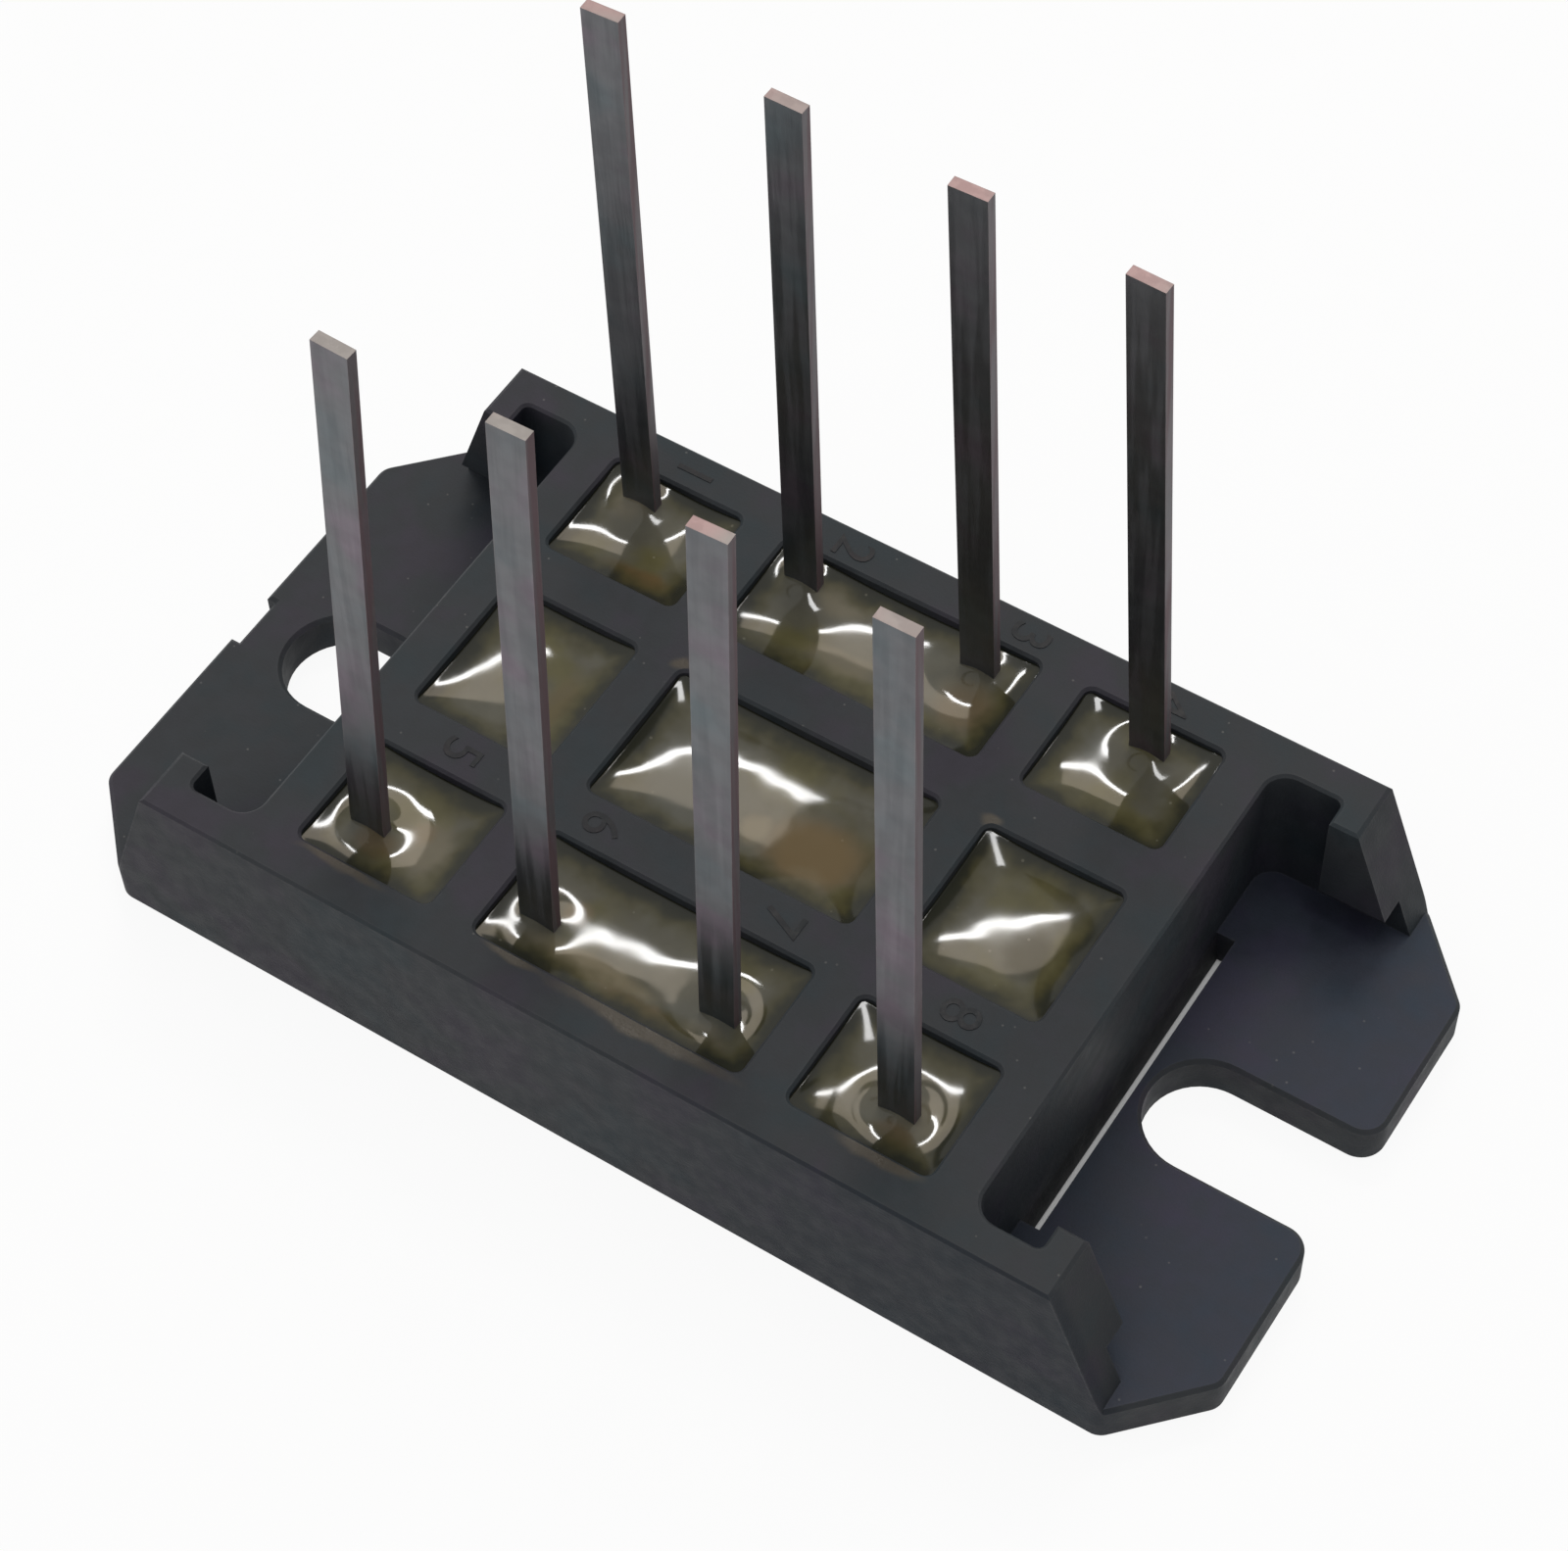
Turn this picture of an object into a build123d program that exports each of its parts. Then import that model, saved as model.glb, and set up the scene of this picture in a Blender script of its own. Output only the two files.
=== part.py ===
from build123d import *
import os
from math import atan2, degrees

# Bridge rectifier module, in millimetres.
# +X runs along the module towards the open screw slot, +Y across it, +Z up out of the
# potted windows. The origin is the centre of the base copper's underside, which is the
# face that lies on the heatsink.
#
# The module is a moulded frame closed below by a copper-clad ceramic plate. Four diode
# dies are soldered to four copper strips on the plate and joined across by bent straps.
# Eight flat leads stand on the strips and leave through the frame's windows, and one
# casting of resin fills everything up to just below the frame's top.

# ---- housing ----
length = 63.0
width = 31.5
top = 10.4               # the frame's top face
seat = 0.15              # the base copper stands this far proud of the frame's underside
flange_top = 2.4         # upper face of the two mounting flanges
chamfer_x = 3.9          # plan chamfer of the four corners, along X
chamfer_y = 4.1          # and along Y
corner_round = 1.0       # rounding of the plan chamfer's corners
edge_break = 0.15        # broken edges round the top of the frame and of its windows
flange_break = 0.2       # broken edges round the flanges and the screw slots
touch = 0.001            # tolerance for telling what lies at a level
side_wall = 1.9          # thickness of the long side walls beside the screw pockets

# ---- screw pockets at both ends ----
block_half = 19.65       # half length of the block between the pockets
ear_top = 24.7           # the side walls end here at the top
ear_foot = 27.6          # and slope out to here at the flange
lip_start = 23.2         # the ends of the side walls turn inwards from here
lip_y = 12.4             # inner face of the turned-in lips
lip_under = 4.8          # underside of the lips, clear of the flange
pocket_round = 1.2       # vertical corners beside the block
lip_round = 0.4          # vertical corners beside the lips

# ---- openings in the flanges ----
screw_slot_width = 5.9
screw_slot_inner = 24.15  # centre of the arc nearest the block
screw_slot_travel = 1.6   # the closed slot's second arc lies this much further out
mouth_round = 1.3         # rounded mouth of the open slot
relief_width = 1.0        # slit that lets the flange bend without straining the block
relief_length = 18.4
gate_width = 3.0          # recess where the moulding gate was cut off
gate_depth = 0.5

# ---- cavity and windows ----
cavity_x = 34.5
cavity_y = 26.8
cavity_round = 0.8
grid_depth = 2.5                                        # depth of the window bars
window_columns = ((-13.5, 7.5), (0.0, 14.6), (13.5, 7.5))   # centre and size along X
window_rows = ((-10.15, 6.5), (0.0, 8.2), (10.15, 6.5))     # centre and size along Y
window_round = 0.5

# ---- base plate: copper, ceramic, copper ----
copper = 0.3
ceramic = 0.63
ceramic_x = 36.6
ceramic_y = 28.7
ceramic_play = 0.15      # side clearance of the ceramic in its rebate
plate_round = 0.5        # corners of the ceramic and of the copper on it
base_copper_x = 34.6
base_copper_y = 26.7
glue = 0.15              # bead between the ceramic and the frame
strip_y = 25.4           # length of the copper strips
outer_strip = (9.95, 16.6)   # inner and outer edge of the outer strips, each side of X = 0
inner_strip = (0.45, 9.15)   # and of the inner strips

# ---- dies and straps ----
solder = 0.1
die = 4.4
die_thickness = 0.3
strap_width = 3.0
strap_thickness = 0.5
strap_bend = 0.8
strap_foot = 2.6
strap_joint = 1.7        # soldered length of each foot
strap_ramp = 1.2
strap_lift = 1.3         # height of the strap's bridge above the foot on the die
row_pitch = 5.0          # spacing of the three rows of straps
# The straps of the two outer strips' dies land on the inner strips, and those of the inner
# strips' dies on the minus strip. Each landing is this far left of its strip's middle.
ac_landing_1 = 2.5
ac_landing_2 = 2.2
minus_landing = 1.5

# ---- leads ----
lead_width = 1.9
lead_thickness = 0.6
lead_bend = 0.5
lead_foot = 3.0
lead_tip = 44.0          # height of the cut ends
# Each lead: X and Y where it leaves the frame, X and Y at its tip, and its twist in degrees.
# They were bent by hand, so no two stand quite alike.
back_leads = (
    (-14.9, 12.0, -14.2, 11.1, 2.0),
    (-5.4, 12.0, -4.7, 10.7, -1.0),
    (4.6, 12.0, 4.4, 10.4, 1.5),
    (13.9, 12.0, 13.0, 9.9, -2.0),
)
front_leads = (
    (-14.9, -10.8, -12.8, -10.0, -2.0),
    (-5.2, -10.9, -4.4, -9.8, 1.0),
    (4.7, -10.9, 5.1, -10.0, 2.0),
    (14.2, -10.9, 13.5, -10.0, 0.5),
)

# ---- resin ----
resin_level = 9.35       # flat part of the resin in each window
resin_climb = 0.42       # how far it climbs the window walls
resin_slope = 1.1        # width of that climb
resin_margin = 0.06      # the climb stops this far from the wall
resin_bend_rise = 0.12   # height of the lower, flatter part of the climb
resin_bend_width = 0.65  # and its width
resin_corner = 1.0       # cut corners of the flat part
collar_base = 1.9        # radius of the raised ring of resin round each lead
collar_top = 1.2
collar_height = 0.35
collar_sides = 16        # flats that make up its round outline

# ---- derived heights ----
ceramic_top = copper + ceramic
strip_top = ceramic_top + copper
ledge = ceramic_top + glue
grid_under = top - grid_depth
die_bottom = strip_top + solder
die_top = die_bottom + die_thickness
pocket_y = width / 2 - side_wall
outer_strip_x = sum(outer_strip) / 2
inner_strip_x = sum(inner_strip) / 2


def plan_outline():
    """The frame's plan: a rectangle with long chamfers and lightly rounded corners."""
    x, y = length / 2, width / 2
    with BuildSketch() as plan:
        with BuildLine():
            Polyline(
                (x, chamfer_y - y), (x, y - chamfer_y), (x - chamfer_x, y), (chamfer_x - x, y),
                (-x, y - chamfer_y), (-x, chamfer_y - y), (chamfer_x - x, -y), (x - chamfer_x, -y),
                close=True,
            )
        make_face()
        fillet(plan.vertices(), corner_round)
    return plan.sketch


def pocket_plan():
    """The screw pocket at the +X end, between the turned-in ends of the side walls."""
    with BuildSketch() as pocket:
        with Locations((block_half, 0)):
            Rectangle(lip_start - block_half, 2 * pocket_y, align=(Align.MIN, Align.CENTER))
        fillet(pocket.vertices().group_by(Axis.X)[0], pocket_round)
        fillet(pocket.vertices().group_by(Axis.X)[-1], lip_round)
        with Locations((block_half + pocket_round, 0)):
            Rectangle(length, 2 * lip_y, align=(Align.MIN, Align.CENTER))
    return pocket.sketch


def end_wedge():
    """What the sloping end of the side walls leaves out at the +X end, seen from the front."""
    with BuildSketch() as wedge:
        with BuildLine():
            Polyline(
                (ear_top, top), (ear_foot, flange_top), (length, flange_top),
                (length, 2 * top), (ear_top, 2 * top),
                close=True,
            )
        make_face()
    return wedge.sketch


def is_flange_rim(edge):
    """Whether an edge lies on a flange's upper face, at its outline or at a screw slot."""
    middle = edge.center()
    at_level = abs(middle.Z - flange_top) < touch
    at_outline = abs(middle.X) > length / 2 - chamfer_x + touch
    at_slot = abs(middle.Y) < screw_slot_width and abs(middle.X) > block_half + relief_width + touch
    return at_level and (at_outline or at_slot)


def both_ends():
    """Locations of the two ends: as drawn, and turned half round."""
    return Locations(Location((0, 0, 0)), Location((0, 0, 0), (0, 0, 180)))


def window_plan():
    """The nine windows between the bars."""
    with BuildSketch() as windows:
        for x, x_size in window_columns:
            for y, y_size in window_rows:
                with Locations((x, y)):
                    RectangleRounded(x_size, y_size, window_round)
    return windows.sketch


def bent_strip(points, bend, thickness, across, plane):
    """A flat strip bent along points in a plane, with its width across that plane."""
    with BuildPart() as made:
        with BuildSketch(plane):
            with BuildLine():
                lower = FilletPolyline(*points, radius=bend)
                offset(lower, amount=thickness, side=Side.LEFT)
            make_face()
        extrude(amount=across / 2, both=True)
    return made.part


# ---- housing: one moulding ----
with BuildPart() as housing:
    # the flanges and the foot of the block, with the screw slots and relief slits
    with BuildSketch(Plane.XY.offset(seat)) as flange_plan:
        add(plan_outline())
        with Locations((-screw_slot_inner - screw_slot_travel / 2, 0)):
            SlotCenterToCenter(screw_slot_travel, screw_slot_width, mode=Mode.SUBTRACT)
        with Locations((screw_slot_inner, 0)):
            Circle(screw_slot_width / 2, mode=Mode.SUBTRACT)
            Rectangle(length, screw_slot_width, align=(Align.MIN, Align.CENTER), mode=Mode.SUBTRACT)
        mouth = flange_plan.vertices().group_by(Axis.X)[-1].sort_by(lambda v: abs(v.Y))[:2]
        fillet(mouth, mouth_round)
        with both_ends():
            with Locations((block_half + relief_width / 2, 0)):
                Rectangle(relief_width, relief_length, mode=Mode.SUBTRACT)
        with Locations((-length / 2, 0)):
            Rectangle(2 * gate_depth, gate_width, mode=Mode.SUBTRACT)
    extrude(amount=flange_top - seat)

    # the block and the side walls of the screw pockets, with their turned-in ends
    with BuildSketch(Plane.XY.offset(flange_top)):
        add(plan_outline())
        with both_ends():
            add(pocket_plan(), mode=Mode.SUBTRACT)
    extrude(amount=top - flange_top)

    # the side walls slope down to the flanges
    with BuildSketch(Plane.XZ):
        add(end_wedge())
        mirror(about=Plane.YZ)
    extrude(amount=width, both=True, mode=Mode.SUBTRACT)

    # the turned-in ends stop short of the flange
    with BuildSketch(Plane.XY.offset(flange_top)):
        with both_ends():
            with Locations((block_half + pocket_round, 0)):
                Rectangle(length, 2 * pocket_y, align=(Align.MIN, Align.CENTER))
    extrude(amount=lip_under - flange_top, mode=Mode.SUBTRACT)

    # rebate for the ceramic, cavity, and the nine windows through the bars
    with BuildSketch(Plane.XY.offset(seat)):
        RectangleRounded(ceramic_x + 2 * ceramic_play, ceramic_y + 2 * ceramic_play, cavity_round)
    extrude(amount=ledge - seat, mode=Mode.SUBTRACT)
    with BuildSketch(Plane.XY.offset(ledge)):
        RectangleRounded(cavity_x, cavity_y, cavity_round)
    extrude(amount=grid_under - ledge, mode=Mode.SUBTRACT)
    with BuildSketch(Plane.XY.offset(grid_under)):
        add(window_plan())
    extrude(amount=grid_depth, mode=Mode.SUBTRACT)

    # the broken edges
    chamfer(housing.edges().filter_by(is_flange_rim), flange_break)
    chamfer(housing.edges().group_by(Axis.Z)[-1], edge_break)
housing.part.label = "housing"

# ---- base plate: copper below, ceramic, copper strips above ----
with BuildPart() as base_copper:
    with BuildSketch():
        RectangleRounded(base_copper_x, base_copper_y, plate_round)
    extrude(amount=copper)
base_copper.part.label = "base_copper"

with BuildPart() as ceramic_plate:
    with BuildSketch(Plane.XY.offset(copper)):
        RectangleRounded(ceramic_x, ceramic_y, plate_round)
    extrude(amount=ceramic)
ceramic_plate.part.label = "ceramic_plate"

with BuildPart() as glue_bead:
    with BuildSketch(Plane.XY.offset(ceramic_top)):
        RectangleRounded(ceramic_x, ceramic_y, plate_round)
        RectangleRounded(cavity_x, cavity_y, cavity_round, mode=Mode.SUBTRACT)
    extrude(amount=glue)
glue_bead.part.label = "glue_bead"

# The outer strips carry the direct-current leads, the inner ones the alternating-current leads.
strips = {}
for name, side, (inner_edge, outer_edge) in (
    ("plus_strip", -1, outer_strip),
    ("ac_strip_1", -1, inner_strip),
    ("ac_strip_2", 1, inner_strip),
    ("minus_strip", 1, outer_strip),
):
    with BuildPart() as strip:
        with BuildSketch(Plane.XY.offset(ceramic_top)):
            with Locations((side * (inner_edge + outer_edge) / 2, 0)):
                Rectangle(outer_edge - inner_edge, strip_y)
        extrude(amount=copper)
    strips[name] = strip.part

# ---- dies, each soldered by its cathode, and the straps from their anodes ----
# Each entry: where the die stands in X, where its strap lands in X, and the row in Y.
bridge = (
    (-outer_strip_x, -inner_strip_x - ac_landing_1, -row_pitch),
    (-outer_strip_x, inner_strip_x - ac_landing_2, row_pitch),
    (-inner_strip_x, outer_strip_x - minus_landing, 0.0),
    (inner_strip_x, outer_strip_x - minus_landing, -row_pitch),
)
die_seats = [(die_x, row) for die_x, land_x, row in bridge]
landings = [(land_x, row) for die_x, land_x, row in bridge]
strap_on_die = die_top + solder
strap_on_strip = strip_top + solder
strap_bridge = strap_on_die + strap_lift
diodes = {}
straps = {}
for number, (die_x, land_x, row) in enumerate(bridge, start=1):
    with BuildPart() as diode:
        with BuildSketch(Plane.XY.offset(die_bottom)):
            with Locations((die_x, row)):
                Rectangle(die, die)
        extrude(amount=die_thickness)
    diodes[f"diode_{number}"] = diode.part

    half_foot = strap_foot / 2
    underside = (
        (die_x - half_foot, strap_on_die),
        (die_x + half_foot, strap_on_die),
        (die_x + half_foot + strap_ramp, strap_bridge),
        (land_x - half_foot - strap_ramp, strap_bridge),
        (land_x - half_foot, strap_on_strip),
        (land_x + half_foot, strap_on_strip),
    )
    row_plane = Plane.XZ.offset(-row)
    straps[f"strap_{number}"] = bent_strip(
        underside, strap_bend, strap_thickness, strap_width, row_plane
    )

# ---- leads ----
lead_seat = strip_top + solder
leads = {}
for number, (x, y, tip_x, tip_y, twist) in enumerate(back_leads + front_leads, start=1):
    inward = 1 if y < 0 else -1
    profile = Plane(origin=(x, y, 0), x_dir=(0, inward, 0), z_dir=(inward, 0, 0))
    back_face = -lead_thickness / 2
    outer_line = (
        (back_face, top),
        (back_face, lead_seat),
        (back_face + lead_foot, lead_seat),
    )
    with BuildPart() as lead:
        # the foot soldered to its strip, the bend, and the riser up to the frame's top
        add(bent_strip(outer_line, lead_bend + lead_thickness, lead_thickness, lead_width, profile))
        # the free length, slightly leaning and twisted, with a square-cut tip
        with BuildSketch(Plane((x, y, top))):
            Rectangle(lead_width, lead_thickness)
        with BuildSketch(Plane((tip_x, tip_y, lead_tip))):
            Rectangle(lead_width, lead_thickness, rotation=twist)
        loft()
    leads[f"lead_{number}"] = lead.part

# ---- solder ----
with BuildPart() as die_solder:
    with BuildSketch(Plane.XY.offset(strip_top)):
        with Locations(*die_seats):
            Rectangle(die, die)
    extrude(amount=solder)
die_solder.part.label = "die_solder"

with BuildPart() as strap_solder:
    for level, seats in ((die_top, die_seats), (strip_top, landings)):
        with BuildSketch(Plane.XY.offset(level)):
            with Locations(*seats):
                Rectangle(strap_joint, strap_width)
        extrude(amount=solder)
strap_solder.part.label = "strap_solder"

with BuildPart() as lead_solder:
    with BuildSketch(Plane.XY.offset(strip_top)):
        for x, y, tip_x, tip_y, twist in back_leads + front_leads:
            inward = 1 if y < 0 else -1
            foot_start = y + inward * (lead_bend + lead_thickness / 2)
            foot_end = y + inward * (lead_foot - lead_thickness / 2)
            with Locations((x, (foot_start + foot_end) / 2)):
                Rectangle(lead_width, abs(foot_end - foot_start))
    extrude(amount=solder)
lead_solder.part.label = "lead_solder"

# ---- resin: one casting round everything inside the frame ----
# The hollow of its surface in each window, with a raised ring left standing round each lead.
# Its sides rise in two slopes, the upper one steeper, as far as resin_margin from the wall.
dish_slopes = (
    (resin_level, resin_bend_rise, resin_slope, resin_bend_width),
    (resin_level + resin_bend_rise, resin_climb - resin_bend_rise, resin_slope - resin_bend_width,
     resin_slope - resin_bend_width),
)
with BuildPart() as dishes:
    for level, rise, inset, spread in dish_slopes:
        with BuildSketch(Plane.XY.offset(level)) as floor:
            for x, x_size in window_columns:
                for y, y_size in window_rows:
                    with Locations((x, y)):
                        Rectangle(
                            x_size - 2 * (resin_margin + inset), y_size - 2 * (resin_margin + inset)
                        )
            chamfer(floor.vertices(), resin_corner)
        extrude(amount=rise, taper=-degrees(atan2(spread, rise)))
    with BuildSketch(Plane.XY.offset(resin_level)):
        for x, y, tip_x, tip_y, twist in back_leads + front_leads:
            with Locations((x, y)):
                RegularPolygon(collar_base, collar_sides)
    extrude(
        amount=collar_height, taper=degrees(atan2(collar_base - collar_top, collar_height)),
        mode=Mode.SUBTRACT,
    )

with BuildPart() as resin:
    with BuildSketch(Plane.XY.offset(ceramic_top)):
        RectangleRounded(cavity_x, cavity_y, cavity_round)
    extrude(amount=grid_under - ceramic_top)
    with BuildSketch(Plane.XY.offset(grid_under)):
        add(window_plan())
    extrude(amount=resin_level + resin_climb - grid_under)
    add(dishes.part, mode=Mode.SUBTRACT)
    for group in (strips, diodes, straps, leads):
        for piece in group.values():
            add(piece, mode=Mode.SUBTRACT)
    for joint in (die_solder, strap_solder, lead_solder):
        add(joint.part, mode=Mode.SUBTRACT)
resin.part.label = "resin"

# ---- one file for each piece ----
os.makedirs("parts", exist_ok=True)
export_step(housing.part, "parts/housing.step")
export_step(base_copper.part, "parts/base_copper.step")
export_step(ceramic_plate.part, "parts/ceramic_plate.step")
export_step(glue_bead.part, "parts/glue_bead.step")
export_step(die_solder.part, "parts/die_solder.step")
export_step(strap_solder.part, "parts/strap_solder.step")
export_step(lead_solder.part, "parts/lead_solder.step")
export_step(resin.part, "parts/resin.step")
for group in (strips, diodes, straps, leads):
    for name, piece in group.items():
        piece.label = name
        export_step(piece, f"parts/{name}.step")
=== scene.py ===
# %% [markdown]
# # A bridge rectifier module, potted in resin
#
# The real part is a dark moulded frame, closed below by a copper plate and filled from above
# with a clear olive resin. Eight flat leads stand in the resin. The shapes come from a packed
# CAD model, which is loaded first and is never moved. This lesson gives those shapes their
# finishes, and pours the resin afresh as one smooth surface.

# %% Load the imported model
import math

import bpy
import numpy as np
from mathutils import Matrix, Quaternion, Vector, noise


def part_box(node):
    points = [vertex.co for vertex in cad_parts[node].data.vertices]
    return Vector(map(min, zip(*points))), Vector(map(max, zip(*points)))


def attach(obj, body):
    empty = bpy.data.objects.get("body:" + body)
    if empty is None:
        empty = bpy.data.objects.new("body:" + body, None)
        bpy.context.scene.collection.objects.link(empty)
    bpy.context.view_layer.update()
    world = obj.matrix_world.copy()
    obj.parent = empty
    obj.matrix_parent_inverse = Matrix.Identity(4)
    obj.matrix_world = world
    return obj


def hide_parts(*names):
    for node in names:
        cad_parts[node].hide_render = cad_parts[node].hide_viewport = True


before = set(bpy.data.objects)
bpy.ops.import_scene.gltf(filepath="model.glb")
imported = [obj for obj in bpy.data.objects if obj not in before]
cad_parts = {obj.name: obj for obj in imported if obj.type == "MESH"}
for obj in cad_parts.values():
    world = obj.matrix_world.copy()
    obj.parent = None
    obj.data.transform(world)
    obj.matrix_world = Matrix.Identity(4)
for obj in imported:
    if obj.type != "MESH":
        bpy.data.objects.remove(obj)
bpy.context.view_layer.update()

print("nodes:", len(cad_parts))

# %% [markdown]
# ## Units
# The frame is in metres, but the module is small, so sizes are written in millimetres and
# turned into metres where they are used. A vector can be scaled the same way as a number.
# A second helper puts what is made into the scene, since Blender shows only linked objects.

# %% Millimetres and objects
MM = 0.001


def metres(*sizes):
    """Sizes in millimetres as a vector in metres."""
    return Vector([size * MM for size in sizes])


def put_in_scene(name, data):
    """An object made of a mesh, a lamp or a camera, linked into the scene."""
    item = bpy.data.objects.new(name, data)
    bpy.context.scene.collection.objects.link(item)
    return item


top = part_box("housing")[1].z / MM
print("the frame's top face stands at", round(top, 2), "mm")

# %% [markdown]
# ## The camera
# A small part is looked at from above and a little to the side, so that the windows, the long
# front wall and one screw pocket all show. The camera stands about three lengths of the part
# away, as for a close picture, so the upright leads spread a little towards their tips. It is
# placed by angles round a point on the frame's top, which is easier to adjust than a bare
# position, and it is rolled slightly, as a hand-held one is.

# %% Place the camera
camera_azimuth = math.radians(34.447)
camera_elevation = math.radians(54.811)
camera_roll = math.radians(-2.196)
camera_aim = metres(0.26, 1.37, top)
camera_distance = 183.84 * MM

camera_data = bpy.data.cameras.new("portrait_camera")
camera_data.lens = 90
camera_data.sensor_width = 36
camera_data.clip_start = 0.01
camera = put_in_scene("portrait_camera", camera_data)

towards_camera = Vector((
    math.sin(camera_azimuth) * math.cos(camera_elevation),
    -math.cos(camera_azimuth) * math.cos(camera_elevation),
    math.sin(camera_elevation),
))
camera.rotation_mode = "QUATERNION"
camera.location = camera_aim + towards_camera * camera_distance
level_view = towards_camera.to_track_quat("Z", "Y")
camera.rotation_quaternion = level_view @ Quaternion((0, 0, 1), camera_roll)
bpy.context.scene.camera = camera
bpy.context.scene.view_settings.view_transform = "Standard"
print("camera at", [round(side / MM, 1) for side in camera.location], "mm")

# %% [markdown]
# ## Helpers for node trees
# Every finish is a tree of shader nodes. `put` adds one node and fills its sockets, either
# with a plain value or with the output of another node, so that a tree reads from top to
# bottom. The short helpers after it cover what finishes do most.

# %% Node helpers
def put(tree, kind, sockets=None, **settings):
    """Adds a shader node. Sockets are named or numbered, and take a value or an output."""
    node = tree.nodes.new("ShaderNode" + kind)
    for name, value in settings.items():
        setattr(node, name, value)
    for socket, value in (sockets or {}).items():
        if isinstance(value, bpy.types.NodeSocket):
            tree.links.new(value, node.inputs[socket])
        else:
            node.inputs[socket].default_value = value
    return node


def calc(tree, operation, first, second=0.0):
    """One step of arithmetic on two numbers."""
    return put(tree, "Math", {0: first, 1: second}, operation=operation).outputs[0]


def times(tree, product, *factors):
    """The product of some numbers."""
    for factor in factors:
        product = calc(tree, "MULTIPLY", product, factor)
    return product


def vector_calc(tree, operation, first, second):
    """One step of arithmetic on two vectors."""
    return put(tree, "VectorMath", {0: first, 1: second}, operation=operation).outputs[0]


def fade(tree, value, start, end, low=0.0, high=1.0):
    """Goes smoothly from low to high as the value goes from start to end."""
    sockets = {"Value": value, "From Min": start, "From Max": end, "To Min": low, "To Max": high}
    return put(tree, "MapRange", sockets, interpolation_type="SMOOTHSTEP").outputs[0]


def lay_over(tree, mask, below, above, how="MIX"):
    """Lays one colour over another, as far as the mask says."""
    sockets = {0: mask, 6: below, 7: above}
    return put(tree, "Mix", sockets, data_type="RGBA", blend_type=how).outputs[2]


def lay_thin(tree, mask, share, below, above):
    """Lays one colour over another where the mask is, but only a share of it."""
    return lay_over(tree, times(tree, mask, share), below, above)


def shaded(tree, colour, shade):
    """A colour times a number."""
    grey = put(tree, "CombineColor", {0: shade, 1: shade, 2: shade}).outputs[0]
    return lay_over(tree, 1.0, colour, grey, "MULTIPLY")


def place_in_mm(tree):
    """Where a point of the surface is, in millimetres from the origin of the frame."""
    place = put(tree, "TexCoord").outputs["Object"]
    return put(tree, "VectorMath", {0: place, "Scale": 1 / MM}, operation="SCALE").outputs[0]


def random_field(tree, place, scale, detail, roughness=0.5):
    """The outputs of a noise texture: a number from 0 to 1, and a colour."""
    sockets = {"Vector": place, "Scale": scale, "Detail": detail, "Roughness": roughness}
    return put(tree, "TexNoise", sockets).outputs


def clouds(tree, place, size, detail=2.0):
    """Soft random clouds of about the given size in millimetres, from 0 to 1."""
    return random_field(tree, place, 1 / size, detail, 0.55)[0]


def split(tree, vector):
    """The three numbers of a vector."""
    return put(tree, "SeparateXYZ", {0: vector}).outputs


def facing(tree):
    """The surface's own direction, as three numbers."""
    return split(tree, put(tree, "NewGeometry").outputs["Normal"])


def start_finish(name):
    """A new material: the material, its tree and the place in millimetres."""
    finish = bpy.data.materials.new(name)
    finish.use_nodes = True
    finish.node_tree.nodes.clear()
    return finish, finish.node_tree, place_in_mm(finish.node_tree)


print("node helpers ready")

# %% [markdown]
# ## The studio
# The part lies on a white sheet in even, soft light. A white background must not come from
# more light on the part, so the room is simply shown as white to the camera and to
# reflections, while the part itself is lit by a calmer room. Reflections see the white walls
# turn into a grey ceiling, because a room that is white all round would make the glossy resin
# milky.

# %% Room light
room_level = 0.99
low_light = 0.34             # share of the light that comes in low
low_until = 0.8              # sine of the height angle where it has grown to all of it
right_light = 0.12           # share of the light that comes from the right
right_until = 0.9            # the same along X, where it has fallen to that share
ceiling_start = 0.25         # sine of the height angle where the walls begin to darken
ceiling_end = 0.55           # and where they have turned into the ceiling
white = (1.0, 1.0, 1.0, 1.0)
ceiling_grey = (0.5, 0.5, 0.5, 1.0)


def seen_directly(tree):
    """1 for what the camera sees itself, in a reflection or through something clear."""
    path = put(tree, "LightPath").outputs
    mirrored = calc(tree, "MAXIMUM", path["Is Camera Ray"], path["Is Glossy Ray"])
    return calc(tree, "MAXIMUM", mirrored, path["Is Transmission Ray"])


def white_room():
    """The room: white walls under a calmer ceiling, and an even soft light for the part."""
    room = bpy.data.worlds.new("white_room")
    room.use_nodes = True
    tree = room.node_tree
    tree.nodes.clear()
    sides = split(tree, put(tree, "TexCoord").outputs["Generated"])
    ceiling = fade(tree, sides[2], ceiling_start, ceiling_end)
    wall_colour = lay_over(tree, ceiling, white, ceiling_grey)
    high = fade(tree, sides[2], 0.0, low_until, low_light, 1.0)
    right = fade(tree, sides[0], 0.0, right_until, 1.0, right_light)
    level = times(tree, high, right, room_level)
    lighting = put(tree, "Background", {"Color": white, "Strength": level})
    backdrop = put(tree, "Background", {"Color": wall_colour, "Strength": 1.0})
    shaders = {0: seen_directly(tree), 1: lighting.outputs[0], 2: backdrop.outputs[0]}
    mixed = put(tree, "MixShader", shaders)
    put(tree, "OutputWorld", {"Surface": mixed.outputs[0]})
    return room


bpy.context.scene.world = white_room()
print("room light at", room_level)

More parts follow.
